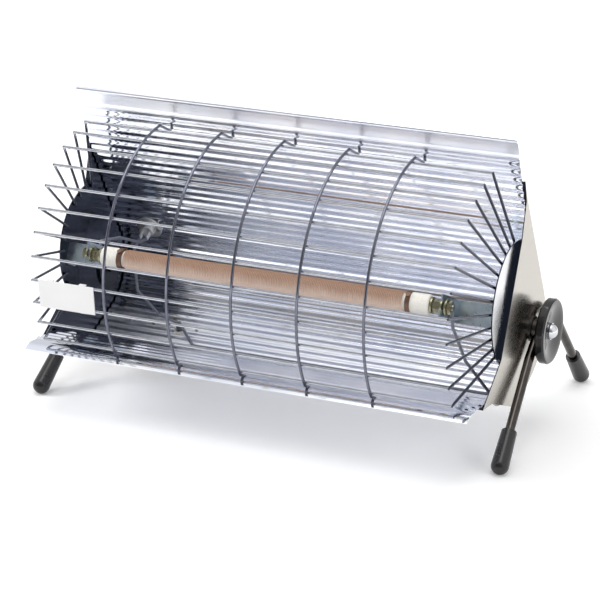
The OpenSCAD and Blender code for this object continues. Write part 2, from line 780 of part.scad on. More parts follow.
module terminal_cover() {
    ear = 9;
    color(steel) in_cover(touch) difference() {
        union() {
            translate([-cover_len / 2, -cover_w / 2, 0]) cube([cover_len, cover_w, cover_h]);
            translate([-cover_len / 2 - ear, -7, 0]) cube([cover_len + 2 * ear, 14, cover_t]);
        }
        translate([cover_t - cover_len / 2, cover_t - cover_w / 2, -cover_t])
            cube([cover_len - 2 * cover_t, cover_w - 2 * cover_t, cover_h]);
        translate([inlet_x, 0, inlet_z]) rotate([90, 0, 0])
            cylinder(h = cover_w, r = inlet_d / 2 + 2);
        for (x = [-1, 1]) translate([x * (cover_len / 2 + 5), 0, -1]) cylinder(h = 4, r = 1.5);
    }
}
module cover_screws() {
    color(steel) in_cover(touch) for (x = [-1, 1]) translate([x * (cover_len / 2 + 5), 0, 0]) {
        translate([0, 0, cover_t]) cylinder(h = 1.6, r = 2.8);
        translate([0, 0, -crest_in - 1]) cylinder(h = crest_in + 1 + cover_t, r = 1.4);
    }
}
module cord_grommet() {
    color(black) in_cover(touch) translate([inlet_x, -cover_w / 2 + cover_t / 2, inlet_z])
        rotate([90, 0, 0]) difference() {
            union() {
                for (z = [cover_t / 2, -cover_t / 2 - 1.6]) translate([0, 0, z])
                    cylinder(h = 1.6, r = inlet_flange_r);
                translate([0, 0, -cover_t]) cylinder(h = 2 * cover_t, r = inlet_d / 2 + 2 - touch);
            }
            translate([0, 0, -4]) cylinder(h = 8, r = inlet_d / 2);
        }
}
module earth_screw() {
    color(brass) in_cover(touch) translate([earth_x, earth_y, 0]) {
        cylinder(h = 1, r = 4.4);
        cylinder(h = 3, r = 3.2);
        translate([0, 0, -crest_in - 1.5]) cylinder(h = crest_in + 2, r = 1.9);
    }
}

// Sleeved leads: one from the right stud to the block, one from the left stud to the
// cut-out, and one from the cut-out to the block. Each stud holds a lead's lug.
function in_trough(s, depth) = off(s, -crest_in - touch - depth);
function cover_point(x, y, z) = concat([cover_x + x], off(cover_s, touch + z) + y * dir_at(cover_s));
function blade_point(x) = concat([cutout_x + x], in_trough(cutout_s, blade_h + lead_d / 2));
lug_reach = 14;
bush_y = 4;
lead_low = [108, 31];
before_bush = -12;
bush_right = inlet_x + 1.4;
bush_left = inlet_x - 1.4;
beside_block = 11;
in_block = 5;
pole_z = 6;
right_lead = [[clip_out + lead_d / 2, rod_d + lug_reach, rod_h], [164, 27, 76], [172, 50, 52],
    [184, 88, 32], [176, lead_low[0], lead_low[1]], [bush_x + 24, lead_low[0], lead_low[1]],
    cover_point(bush_right, bush_y, before_bush), cover_point(bush_right, bush_y, 13),
    cover_point(block_x + pole_x[0], beside_block, 13),
    cover_point(block_x + pole_x[0], beside_block, pole_z),
    cover_point(block_x + pole_x[0], in_block, pole_z)];
left_lead = [[-clip_out - lead_d / 2, rod_d + lug_reach, rod_h], [-164, 27, 104], [-164, 60, 112],
    [-164, 100, 114], blade_point(blade_x)];
cutout_lead = [blade_point(-blade_x), [-171, 106, 106], [-165, 116, 72], [-140, 116, 54],
    cover_point(bush_left, bush_y, before_bush), cover_point(bush_left, bush_y, 8),
    cover_point(block_x + pole_x[1], beside_block, pole_z),
    cover_point(block_x + pole_x[1], in_block, pole_z)];
module lug() {
    difference() {
        union() {
            rod_x(0, lug_t, 5.5);
            translate([0, 0, -3]) cube([lug_t, lug_reach, 6]);
        }
        rod_x(-1, 2, stud_r + touch);
    }
}
module element_leads() {
    color([0.9, 0.88, 0.8]) head() {
        both_ends() translate([clip_out, rod_d, rod_h]) lug();
        wire(right_lead, lead_d / 2);
        wire(left_lead, lead_d / 2);
        wire(cutout_lead, lead_d / 2);
    }
}

// Pivots, stands and knobs

module on_bolt() {
    head() translate([0, pivot_d, pivot_h]) children();
}
module pivot_bolt() {
    head_r = bolt_d + 1;
    rod_x(bolt_head_in, bolt_head_in + bolt_head_h, head_r);
    rod_x(bolt_head_in, knob_seat + nut_hole - nut_end_gap, bolt_r);
}
module pivot_bolt_right() { color(steel) on_bolt() pivot_bolt(); }
module pivot_bolt_left() { color(steel) on_bolt() mirror([1, 0, 0]) pivot_bolt(); }

module pivot_plates() {
    color(steel) on_bolt() both_ends() difference() {
        rod_x(cheek_in - pivot_plate_t, cheek_in, pivot_plate_d / 2);
        rod_x(cheek_in - pivot_plate_t - 1, cheek_in + 1, bolt_r + 0.1);
    }
}
module friction_washers() {
    color(black) on_bolt() both_ends() difference() {
        rod_x(cheek_out, washer_out, washer_d / 2);
        rod_x(cheek_out - 1, washer_out + 1, bolt_r + 0.1);
    }
}

// The stand rod's centre line about the pivot: the front leg's line passes through the hub
// and on to the bend over it, from which the back leg comes down.
front_dir = unit([-front_reach, foot_z]);
back_dir = [cos(back_slope), -sin(back_slope)];
apex = (back_reach * sin(back_slope) + foot_z * cos(back_slope))
    / (-front_dir[0] * sin(back_slope) - front_dir[1] * cos(back_slope));
bend_turn = turned(back_dir, -front_dir);
bend_start = -front_dir * (apex - bend_r * tan(bend_turn / 2));
bend_end = -front_dir * apex + back_dir * bend_r * tan(bend_turn / 2);
bend_c = bend_start - bend_r * left_of(-front_dir);
front_kink_reach = knob_d / 2 + 2;
back_kink_reach = 5;
function in_plane(p) = [0, p[0], p[1]];
front_kink = in_plane(front_kink_reach * front_dir);
back_kink = in_plane(bend_end + back_kink_reach * back_dir);
front_foot = [splay, -front_reach, foot_z];
back_foot = [splay, back_reach, foot_z];
function short_of(from, to, d) = to - d * unit(to - from);
rod_short = 4;

// Each leg leaves the stand's plane at a slight bend, so that the feet stand wider.
module stand() {
    r = leg_d / 2;
    color(chrome) on_pivot() translate([leg_x, 0, 0]) difference() {
        union() {
            rod_x(-hub_t / 2, hub_t / 2, hub_d / 2);
            wire([in_plane(bend_start), front_kink, short_of(front_kink, front_foot, rod_short)], r);
            joint(in_plane(bend_start), r);
            translate(in_plane(bend_c)) rotate([0, 90, 0]) rotate([0, 0, 180 - back_slope])
                rotate_extrude(angle = bend_turn) translate([bend_r, 0]) circle(r = r);
            joint(in_plane(bend_end), r);
            wire([in_plane(bend_end), back_kink, short_of(back_kink, back_foot, rod_short)], r);
        }
        rod_x(-hub_t, hub_t, bolt_r + run);
    }
}
module stand_right() { stand(); }
module stand_left() { mirror([1, 0, 0]) stand(); }

// A rubber foot is pushed over each end of the rod and stands on a small flat.
module rubber_foot(from, to) {
    aim(from, to) translate([0, 0, norm(to - from)]) difference() {
        union() {
            sphere(r = foot_r);
            translate([0, 0, foot_r - foot_len])
                cylinder(h = foot_len - foot_r, r1 = foot_top_d / 2, r2 = foot_r);
        }
        translate([0, 0, -foot_len]) cylinder(h = foot_len - rod_short, r = leg_d / 2 + touch);
    }
}
module feet() {
    color(black) on_pivot() translate([leg_x, 0, 0]) difference() {
        union() {
            rubber_foot(front_kink, front_foot);
            rubber_foot(back_kink, back_foot);
        }
        translate([-foot_d, -2 * front_reach, -pivot_z - foot_d])
            cube([4 * foot_d, 4 * front_reach, foot_d]);
    }
}
module feet_right() { feet(); }
module feet_left() { mirror([1, 0, 0]) feet(); }

// The knob: a moulded disc with a bevelled rim and a dished face round the domed nut
insert_r = 6;
knob_back = hub_out + face_run;
module knob() {
    r = knob_d / 2;
    rim = 4;
    bevel = 1.4;
    profile = [[0, knob_back], [10, knob_back], [10, knob_in], [r - bevel, knob_in],
        [r, knob_in + bevel], [r, knob_out - bevel], [r - bevel, knob_out], [r - rim, knob_out],
        [nut_d / 2 + 3, knob_seat], [0, knob_seat]];
    color(black) on_pivot() rotate([0, 90, 0]) difference() {
        rotate_extrude() polygon(profile);
        translate([0, 0, knob_back - 1]) cylinder(h = knob_t + 4, r = insert_r + touch, $fn = 6);
    }
}
module knob_insert() {
    color(brass) on_pivot() difference() {
        translate([knob_back, 0, 0]) rotate([0, 90, 0])
            cylinder(h = knob_seat - knob_back, r = insert_r, $fn = 6);
        rod_x(knob_back - 1, knob_seat + 1, bolt_r + run);
    }
}
module knob_right() { knob(); }
module knob_left() { mirror([1, 0, 0]) knob(); }
module knob_insert_right() { knob_insert(); }
module knob_insert_left() { mirror([1, 0, 0]) knob_insert(); }

nut_flange_t = 1.5;
nut_hole = 4.6;
nut_end_gap = 0.4;
module dome_nut() {
    r = nut_d / 2;
    base = knob_seat + face_run;
    color(steel) on_bolt() difference() {
        translate([base, 0, 0]) rotate([0, 90, 0]) rotate_extrude() {
            square([r, nut_flange_t]);
            intersection() {
                circle(r = r - 0.4);
                square(r);
            }
        }
        rod_x(base - 1, base + nut_hole, bolt_r + touch);
    }
}
module dome_nut_right() { dome_nut(); }
module dome_nut_left() { mirror([1, 0, 0]) dome_nut(); }

reflector();
end_cheek_left();
end_cheek_right();
cheek_rivets();
guard_plate_left();
guard_plate_right();
grille_bars_upper();
grille_bars_middle();
grille_bars_lower();
grille_hoops_left();
grille_hoop_middle();
grille_hoops_right();
badge_plate();
ceramic_rod();
element_winding();
terminal_bands();
band_screws();
terminal_studs();
terminal_nuts();
bracket_left();
bracket_right();
bracket_rivets();
thermal_cutout();
cutout_screws();
terminal_block();
block_terminals();
element_leads();
lead_bush();
terminal_cover();
cover_screws();
cord_grommet();
earth_screw();
pivot_bolt_left();
pivot_bolt_right();
pivot_plates();
friction_washers();
stand_left();
stand_right();
feet_left();
feet_right();
knob_left();
knob_right();
knob_insert_left();
knob_insert_right();
dome_nut_left();
dome_nut_right();
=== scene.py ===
"""Radiant room heater: finishes, fine pieces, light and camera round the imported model."""

import math

import bmesh
import bpy
from mathutils import Matrix, Vector


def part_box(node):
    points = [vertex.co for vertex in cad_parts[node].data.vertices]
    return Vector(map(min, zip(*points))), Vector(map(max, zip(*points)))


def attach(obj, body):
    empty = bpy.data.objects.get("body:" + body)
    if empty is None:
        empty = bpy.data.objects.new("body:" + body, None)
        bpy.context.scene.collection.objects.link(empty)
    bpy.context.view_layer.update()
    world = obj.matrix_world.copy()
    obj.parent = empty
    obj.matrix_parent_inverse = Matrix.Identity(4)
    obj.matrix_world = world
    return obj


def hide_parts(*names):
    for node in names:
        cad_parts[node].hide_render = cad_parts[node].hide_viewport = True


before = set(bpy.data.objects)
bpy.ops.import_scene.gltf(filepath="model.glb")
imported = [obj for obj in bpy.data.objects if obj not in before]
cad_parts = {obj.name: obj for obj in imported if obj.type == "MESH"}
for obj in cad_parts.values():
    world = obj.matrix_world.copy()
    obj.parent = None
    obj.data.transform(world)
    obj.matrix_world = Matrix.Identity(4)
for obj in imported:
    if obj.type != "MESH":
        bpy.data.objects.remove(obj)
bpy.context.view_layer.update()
scene = bpy.context.scene

# Camera and view
# The photograph looks down on the heater from the front and a little from the right, with
# a long lens, so the bars stay nearly parallel.
camera_place = (0.771, -1.746, 0.795)
camera_tilt = math.radians(69.75)
camera_swing = math.radians(23.85)
lens_mm = 141.4
sensor_mm = 36.0
camera = bpy.data.objects.new("camera", bpy.data.cameras.new("camera"))
camera.location = camera_place
camera.rotation_euler = (camera_tilt, 0.0, camera_swing)
camera.data.lens = lens_mm
camera.data.sensor_width = sensor_mm
scene.collection.objects.link(camera)
scene.camera = camera
scene.view_settings.view_transform = "Standard"

# Reflector
# One sheet of bright annealed stainless steel, rolled into flutes between plain lips. The
# rolls leave fine lines along the flutes, and the lips, which are handled, are duller.
HEAD = "heater_head"
MM = 0.001


def linear(hex_colour):
    """An sRGB hex colour as linear values with alpha, the form that a shader's sockets take."""
    channels = [int(hex_colour[i:i + 2], 16) / 255 for i in (1, 3, 5)]
    curve = [c / 12.92 if c <= 0.04045 else ((c + 0.055) / 1.055) ** 2.4 for c in channels]
    return (*curve, 1.0)


def add(tree, kind, inputs=None, **settings):
    """Adds a node with its settings, and sets or links its inputs.

    An input goes by its label, or by its number where a node has several of one label:
    0 to 2 on a Math node, 2 and 3 for a Mix node's two values, 6 and 7 for its two colours.
    """
    node = tree.nodes.new(kind)
    for name, value in settings.items():
        setattr(node, name, value)
    for name, value in (inputs or {}).items():
        if isinstance(value, bpy.types.NodeSocket):
            tree.links.new(value, node.inputs[name])
        else:
            node.inputs[name].default_value = value
    return node


def new_material(name):
    """A material with its node tree and its shader."""
    material = bpy.data.materials.new(name)
    material.use_nodes = True
    return material, material.node_tree, material.node_tree.nodes["Principled BSDF"]


# The grain is drawn out along the flutes, where its scale is only a share of that across.
grain_mm = 0.5
grain_along = 0.02
cloud_mm = 71.4
top_lip_z = 246 * MM
bottom_lip_z = 47 * MM
lip_dulling = 0.2
stainless, tree, shader = new_material("bright_annealed_stainless_rolled")
where = add(tree, "ShaderNodeTexCoord").outputs["Object"]
drawn = add(tree, "ShaderNodeMapping", {"Vector": where,
                                        "Scale": (grain_along, 1.0, 1.0)}).outputs["Vector"]
roll_lines = add(tree, "ShaderNodeTexNoise", {"Vector": drawn, "Scale": 1 / (grain_mm * MM),
                                              "Detail": 3.0}).outputs["Fac"]
clouds = add(tree, "ShaderNodeTexNoise", {"Vector": where,
                                          "Scale": 1 / (cloud_mm * MM)}).outputs["Fac"]
tint = add(tree, "ShaderNodeValToRGB", {"Fac": clouds})
tint.color_ramp.elements[0].position = 0.35
tint.color_ramp.elements[0].color = linear("#e4e8f4")
tint.color_ramp.elements[1].position = 0.65
tint.color_ramp.elements[1].color = linear("#f8f9fe")
tree.links.new(tint.outputs["Color"], shader.inputs["Base Color"])
gloss = add(tree, "ShaderNodeMapRange", {"Value": roll_lines, "To Min": 0.05, "To Max": 0.14})
height = add(tree, "ShaderNodeSeparateXYZ", {"Vector": where}).outputs["Z"]
above = add(tree, "ShaderNodeMath", {0: height, 1: top_lip_z}, operation="GREATER_THAN")
below = add(tree, "ShaderNodeMath", {0: height, 1: bottom_lip_z}, operation="LESS_THAN")
on_lip = add(tree, "ShaderNodeMath", {0: above.outputs[0], 1: below.outputs[0]},
             operation="MAXIMUM")
duller = add(tree, "ShaderNodeMath", {0: on_lip.outputs[0], 1: lip_dulling,
                                      2: gloss.outputs["Result"]}, operation="MULTIPLY_ADD")
tree.links.new(duller.outputs[0], shader.inputs["Roughness"])
scratch = add(tree, "ShaderNodeBump", {"Height": roll_lines, "Strength": 0.1,
                                       "Distance": 0.05 * MM})
tree.links.new(scratch.outputs["Normal"], shader.inputs["Normal"])
shader.inputs["Metallic"].default_value = 1.0


def smooth_copy(node, body, sharp_deg=35):
    """A copy of a CAD node whose vertices are merged and whose round faces shade smoothly."""
    same_point = 0.001 * MM
    no_length = 0.0001 * MM
    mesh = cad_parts[node].data.copy()
    shape = bmesh.new()
    shape.from_mesh(mesh)
    bmesh.ops.remove_doubles(shape, verts=shape.verts, dist=same_point)
    bmesh.ops.dissolve_degenerate(shape, edges=shape.edges, dist=no_length)
    for face in shape.faces:
        face.smooth = True
    for edge in shape.edges:
        edge.smooth = edge.calc_face_angle(math.pi) < math.radians(sharp_deg)
    shape.to_mesh(mesh)
    shape.free()
    piece = bpy.data.objects.new(node + "_smooth", mesh)
    scene.collection.objects.link(piece)
    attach(piece, body)
    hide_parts(node)
    return piece


def dress(material, *pieces):
    """Gives a material to CAD nodes, which go by their names, or to new pieces."""
    for piece in pieces:
        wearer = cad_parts[piece] if isinstance(piece, str) else piece
        if not wearer.material_slots:
            wearer.data.materials.append(material)
        for slot in wearer.material_slots:
            slot.material = material


dress(stainless, smooth_copy("reflector", HEAD, sharp_deg=50))

# End cheeks and terminal cover
# Pressed from satin stainless sheet, warmer and duller than the reflector. The brushed
# grain along the blank is drawn coarser than it is, so that it shows. The cheeks' inner
# face and front lip are painted a dark blue as shade.
brush_mm = 1.0
brush_along = 0.04
plate_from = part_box("guard_plate_right")[0].x
satin, tree, shader = new_material("satin_stainless_pressed")
where = add(tree, "ShaderNodeTexCoord").outputs["Object"]
drawn = add(tree, "ShaderNodeMapping", {"Vector": where,
                                        "Scale": (1.0, brush_along, 1.0)}).outputs["Vector"]
brush = add(tree, "ShaderNodeTexNoise", {"Vector": drawn, "Scale": 1 / (brush_mm * MM),
                                         "Detail": 1.0}).outputs["Fac"]
tone = add(tree, "ShaderNodeValToRGB", {"Fac": brush})
tone.color_ramp.elements[0].color = linear("#b3aea6")
tone.color_ramp.elements[1].color = linear("#cfcac2")


def painted_shade_inside(tree, where, clean, from_x):
    """A sheet's colour, with its inner side and front edge beyond from_x painted a dark blue as
    shade.

    A face counts as inner, or as front, when it points within 60 degrees of that way.
    """
    # The dark blue that is painted on as shade.
    painted_shade_blue = linear("#2f3544")
    points_there = -math.cos(math.radians(60))
    place = add(tree, "ShaderNodeSeparateXYZ", {"Vector": where}).outputs["X"]
    normal = add(tree, "ShaderNodeTexCoord").outputs["Normal"]
    facing = add(tree, "ShaderNodeSeparateXYZ", {"Vector": normal})
    side = add(tree, "ShaderNodeMath", {0: place}, operation="SIGN")
    outwards = add(tree, "ShaderNodeMath", {0: side.outputs[0], 1: facing.outputs["X"]},
                   operation="MULTIPLY")
    inner = add(tree, "ShaderNodeMath", {0: outwards.outputs[0], 1: points_there},
                operation="LESS_THAN")
    front = add(tree, "ShaderNodeMath", {0: facing.outputs["Y"], 1: points_there},
                operation="LESS_THAN")
    either = add(tree, "ShaderNodeMath", {0: inner.outputs[0], 1: front.outputs[0]},
                 operation="MAXIMUM")
    reach = add(tree, "ShaderNodeMath", {0: place}, operation="ABSOLUTE")
    beyond = add(tree, "ShaderNodeMath", {0: reach.outputs[0], 1: from_x},
                 operation="GREATER_THAN")
    shade_mask = add(tree, "ShaderNodeMath", {0: either.outputs[0], 1: beyond.outputs[0]},
                operation="MULTIPLY")
    return add(tree, "ShaderNodeMix", {"Factor": shade_mask.outputs[0], 6: clean, 7: painted_shade_blue},
               data_type="RGBA").outputs[2]


skin = painted_shade_inside(tree, where, tone.outputs["Color"], plate_from)
tree.links.new(skin, shader.inputs["Base Color"])
gloss = add(tree, "ShaderNodeMapRange", {"Value": brush, "To Min": 0.18, "To Max": 0.26})
tree.links.new(gloss.outputs["Result"], shader.inputs["Roughness"])
scratch = add(tree, "ShaderNodeBump", {"Height": brush, "Strength": 0.02,
                                       "Distance": 0.03 * MM})
tree.links.new(scratch.outputs["Normal"], shader.inputs["Normal"])
shader.inputs["Metallic"].default_value = 1.0
for side in ("left", "right"):
    dress(satin, smooth_copy("end_cheek_" + side, HEAD))
dress(satin, smooth_copy("terminal_cover", HEAD))

# Guard plates
# Half-moon blanks of bright sheet steel, which mirror softly. The inner side is painted a
# dark blue as shade, as on the cheeks.
line_mm = 0.5
line_along = 0.06
whole_plate = 0.0
plate_steel, tree, shader = new_material("bright_sheet_steel_blanked")
where = add(tree, "ShaderNodeTexCoord").outputs["Object"]
drawn = add(tree, "ShaderNodeMapping", {"Vector": where,
                                        "Scale": (1.0, 1.0, line_along)}).outputs["Vector"]
lines = add(tree, "ShaderNodeTexNoise", {"Vector": drawn, "Scale": 1 / (line_mm * MM),
                                         "Detail": 3.0}).outputs["Fac"]
tone = add(tree, "ShaderNodeValToRGB", {"Fac": lines})
tone.color_ramp.elements[0].color = linear("#e2e3e6")
tone.color_ramp.elements[1].color = linear("#f6f6f7")
# The inner side is painted dark blue as shade.
skin = painted_shade_inside(tree, where, tone.outputs["Color"], whole_plate)
tree.links.new(skin, shader.inputs["Base Color"])
gloss = add(tree, "ShaderNodeMapRange", {"Value": lines, "To Min": 0.12, "To Max": 0.24})
tree.links.new(gloss.outputs["Result"], shader.inputs["Roughness"])
scratch = add(tree, "ShaderNodeBump", {"Height": lines, "Strength": 0.1, "Distance": 0.03 * MM})
tree.links.new(scratch.outputs["Normal"], shader.inputs["Normal"])
shader.inputs["Metallic"].default_value = 1.0
for side in ("left", "right"):
    dress(plate_steel, smooth_copy("guard_plate_" + side, HEAD))

# Badge plate
# A plain steel plate with smooth white enamel fired on, so the colour pools a little and the
# surface has a faint orange peel.
peel_mm = 1.2
pool_mm = 33.3
enamel, tree, shader = new_material("white_enamel_fired")
where = add(tree, "ShaderNodeTexCoord").outputs["Object"]
peel = add(tree, "ShaderNodeTexNoise", {"Vector": where,
                                        "Scale": 1 / (peel_mm * MM)}).outputs["Fac"]
pool = add(tree, "ShaderNodeTexNoise", {"Vector": where,
                                        "Scale": 1 / (pool_mm * MM)}).outputs["Fac"]
tone = add(tree, "ShaderNodeValToRGB", {"Fac": pool})
tone.color_ramp.elements[0].color = linear("#eeeef0")
tone.color_ramp.elements[1].color = linear("#f8f8f7")
tree.links.new(tone.outputs["Color"], shader.inputs["Base Color"])
shader.inputs["Roughness"].default_value = 0.22
dimple = add(tree, "ShaderNodeBump", {"Height": peel, "Strength": 0.1, "Distance": 0.03 * MM})
tree.links.new(dimple.outputs["Normal"], shader.inputs["Normal"])
dress(enamel, "badge_plate")

# Guard wires, stands and domed nuts
# Drawn steel wire and rod, welded and plated with chrome. The one chrome is painted in
# shaded and lit copies: dark on the hoops, darkest on the stands, bright on the nuts, as
# painted shade and painted highlight. The thin plating's gloss wanders, and past their bends the
# bars are painted dark as shade.
wander_mm = 8.33
pit_mm = 0.6
# Past their bends the bars are painted this dark grey as shade.
painted_shade_chrome = linear("#474954")
bend_inset = 15.5 * MM
bar_bend_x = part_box("reflector")[1].x - bend_inset
never_x = 1.0

# Each plating has its two shades, the distance from the middle past which it is painted
# dark as shade, and its pieces. No piece reaches never_x, so those platings get no painted shade.
# The hoops', stands' and nuts' shades are darker and lighter copies of one chrome, painted as
# shade and highlight.
platings = (
    ("chrome_plate_on_bars", "#a6a9b2", "#d6d8de", bar_bend_x,
     [(node, HEAD, "guard_chrome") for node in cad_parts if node.startswith("grille_bars")]),
    ("chrome_plate_on_hoops_painted_dark", "#585a66", "#80828e", never_x,
     [(node, HEAD, "guard_chrome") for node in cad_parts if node.startswith("grille_hoop")]),
    ("chrome_plate_on_rod_painted_darkest", "#343130", "#5c5855", never_x,
     [("stand_" + side, "stand_" + side, "stand_chrome") for side in ("left", "right")]),
    ("chrome_plate_on_nut_painted_bright", "#c9cbd0", "#e6e8ec", never_x,
     [("dome_nut_" + side, HEAD, "nut_chrome") for side in ("left", "right")]),
)
for plating, dark, light, shaded_past, pieces in platings:
    chrome, tree, shader = new_material(plating)
    where = add(tree, "ShaderNodeTexCoord").outputs["Object"]
    wander = add(tree, "ShaderNodeTexNoise", {"Vector": where,
                                              "Scale": 1 / (wander_mm * MM)}).outputs["Fac"]
    gloss = add(tree, "ShaderNodeMapRange", {"Value": wander, "To Min": 0.03, "To Max": 0.1})
    tree.links.new(gloss.outputs["Result"], shader.inputs["Roughness"])
    tone = add(tree, "ShaderNodeValToRGB", {"Fac": wander})
    tone.color_ramp.elements[0].color = linear(dark)
    tone.color_ramp.elements[1].color = linear(light)
    # Past the plating's distance from the middle, the colour is painted dark as shade.
    along = add(tree, "ShaderNodeSeparateXYZ", {"Vector": where}).outputs["X"]
    reach = add(tree, "ShaderNodeMath", {0: along}, operation="ABSOLUTE")
    darkening = add(tree, "ShaderNodeMath", {0: reach.outputs[0], 1: shaded_past},
                  operation="GREATER_THAN")
    skin = add(tree, "ShaderNodeMix", {"Factor": darkening.outputs[0], 6: tone.outputs["Color"],
                                       7: painted_shade_chrome}, data_type="RGBA").outputs[2]
    tree.links.new(skin, shader.inputs["Base Color"])
    pits = add(tree, "ShaderNodeTexNoise", {"Vector": where,
                                            "Scale": 1 / (pit_mm * MM)}).outputs["Fac"]
    dimple = add(tree, "ShaderNodeBump", {"Height": pits, "Strength": 0.06,
                                          "Distance": 0.03 * MM})
    tree.links.new(dimple.outputs["Normal"], shader.inputs["Normal"])
    shader.inputs["Metallic"].default_value = 1.0
    for node, rides_on, slot in pieces:
        dress(chrome, smooth_copy(node, rides_on))

# Ceramic rod, bush and terminal block
# Pressed and fired steatite. It is chalky white with faint grey speckle and a slightly open
# surface.
speck_mm = 0.8
ceramic, tree, shader = new_material("steatite_fired")
where = add(tree, "ShaderNodeTexCoord").outputs["Object"]
specks = add(tree, "ShaderNodeTexNoise", {"Vector": where, "Scale": 1 / (speck_mm * MM),
                                          "Detail": 5.0}).outputs["Fac"]
tone = add(tree, "ShaderNodeValToRGB", {"Fac": specks})
tone.color_ramp.elements[0].position = 0.3
tone.color_ramp.elements[0].color = linear("#d8d3c8")
tone.color_ramp.elements[1].position = 0.5
tone.color_ramp.elements[1].color = linear("#f4f1ea")
tree.links.new(tone.outputs["Color"], shader.inputs["Base Color"])
shader.inputs["Roughness"].default_value = 0.6
grit = add(tree, "ShaderNodeBump", {"Height": specks, "Strength": 0.2, "Distance": 0.06 * MM})
tree.links.new(grit.outputs["Normal"], shader.inputs["Normal"])
dress(ceramic, smooth_copy("ceramic_rod", HEAD))
dress(ceramic, "terminal_block", "lead_bush")

# Heating wire
# Resistance wire wound close over the rod in one coil, from band to band. Its oxide skin
# is painted copper brown along the top and peach below, as painted shade above and a painted
# highlight below.
wire_r = 0.6 * MM
wire_sides = 8
core_r = 7.0 * MM
core_gap = 0.05 * MM
end_inset = 2.4 * MM
turns_a_block = 12
blocks = 14
steps_a_turn = 20
join_gap = 0.02 * MM
rod_low, rod_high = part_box("ceramic_rod")
rod_centre = (rod_low + rod_high) / 2
coil_low, coil_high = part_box("element_winding")
coil_from = coil_low.x + end_inset
coil_len = coil_high.x - coil_low.x - 2 * end_inset
block_len = coil_len / blocks
block_steps = turns_a_block * steps_a_turn
coil_r = (core_r + wire_r) / math.cos(math.pi / steps_a_turn) + core_gap

# One block of turns is spun, then copied along the rod, and the blocks are joined end to end
# into one wire.
shape = bmesh.new()
bmesh.ops.create_circle(shape, segments=wire_sides, radius=wire_r)
across = Matrix.Rotation(math.radians(90), 4, "X")
start = rod_centre + Vector((coil_from - rod_centre.x, 0, coil_r))
bmesh.ops.transform(shape, matrix=Matrix.Translation(start) @ across, verts=shape.verts)
bmesh.ops.spin(shape, geom=shape.verts[:] + shape.edges[:], cent=rod_centre, axis=(1, 0, 0),
               dvec=(block_len / block_steps, 0, 0), angle=math.tau * turns_a_block,
               steps=block_steps)
block = shape.verts[:] + shape.edges[:] + shape.faces[:]
for number in range(1, blocks):
    copied = bmesh.ops.duplicate(shape, geom=block)["geom"]
    bmesh.ops.translate(shape, vec=(number * block_len, 0, 0),
                        verts=[v for v in copied if isinstance(v, bmesh.types.BMVert)])
bmesh.ops.remove_doubles(shape, verts=shape.verts, dist=join_gap)
bmesh.ops.holes_fill(shape, edges=[edge for edge in shape.edges if edge.is_boundary])
bmesh.ops.recalc_face_normals(shape, faces=shape.faces)
for face in shape.faces:
    face.smooth = True
coil_mesh = bpy.data.meshes.new("heating_wire_coil")
shape.to_mesh(coil_mesh)
shape.free()
coil = bpy.data.objects.new("heating_wire_coil", coil_mesh)
scene.collection.objects.link(coil)

# The painted shade deepens with height, and the oxide darkens more in patches.
patch_mm = 16.67
patch_share = 0.3
oxide_mm = 0.3
oxide, tree, shader = new_material("resistance_wire_oxidised")
where = add(tree, "ShaderNodeTexCoord").outputs["Object"]
patches = add(tree, "ShaderNodeTexNoise", {"Vector": where,
                                           "Scale": 1 / (patch_mm * MM)}).outputs["Fac"]
height = add(tree, "ShaderNodeSeparateXYZ", {"Vector": where}).outputs["Z"]
# The colour is painted darker with height, as shade.
climb = add(tree, "ShaderNodeMapRange", {"Value": height, "From Min": rod_centre.z - coil_r,
                                         "From Max": rod_centre.z + coil_r})
spread = add(tree, "ShaderNodeMath", {0: patches, 1: patch_share}, operation="MULTIPLY")
darkening = add(tree, "ShaderNodeMath", {0: climb.outputs["Result"], 1: spread.outputs[0]})
tone = add(tree, "ShaderNodeValToRGB", {"Fac": darkening.outputs[0]})
tone.color_ramp.elements[0].position = 0.45
tone.color_ramp.elements[0].color = linear("#f5ded0")
tone.color_ramp.elements[1].position = 1.0
tone.color_ramp.elements[1].color = linear("#b59079")
tree.links.new(tone.outputs["Color"], shader.inputs["Base Color"])
shader.inputs["Roughness"].default_value = 0.45
flakes = add(tree, "ShaderNodeTexNoise", {"Vector": where,
                                          "Scale": 1 / (oxide_mm * MM)}).outputs["Fac"]
grit = add(tree, "ShaderNodeBump", {"Height": flakes, "Strength": 0.25, "Distance": 0.04 * MM})
tree.links.new(grit.outputs["Normal"], shader.inputs["Normal"])
dress(oxide, coil)
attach(coil, HEAD)
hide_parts("element_winding")

# Bands, studs, nuts, brackets, rivets and pivots
# Small turned and pressed pieces of steel, brass and aluminium. Heat from the rod has burnt
# the bands brown, dulled the brass nuts to a greenish tone and tinted the brackets blue. The
# pivots' steel is painted a dark blue-grey as shade.
fittings = (
    ("band_steel_burnt", "#7a6254", 0.45, ("terminal_bands", "band_screws")),
    ("stud_steel_turned", "#a7a6a2", 0.3, ("terminal_studs",)),
    ("brass_dulled_by_heat", "#a5a185", 0.26, ("terminal_nuts", "block_terminals", "earth_screw")),
    ("bracket_steel_blued", "#c6d4df", 0.28, ("bracket_left", "bracket_right")),
    ("rivet_steel_headed", "#c4c3c0", 0.28, ("cheek_rivets", "bracket_rivets", "cutout_screws",
                                            "cover_screws")),
    # The pivots' dark blue-grey is painted shade.
    ("pivot_steel_painted_dark", "#3b3e47", 0.3, ("pivot_bolt_left", "pivot_bolt_right",
                                           "pivot_plates")),
    ("insert_brass_turned", "#b79b5c", 0.3, ("knob_insert_left", "knob_insert_right")),
    ("cutout_cap_pressed", "#eceded", 0.45, ("thermal_cutout",)),
)
stain_mm = 6.67
stain_dark = 0.75
stain_light = 1.2
smoother_by = 0.08
rougher_by = 0.12
tool_mm = 0.5
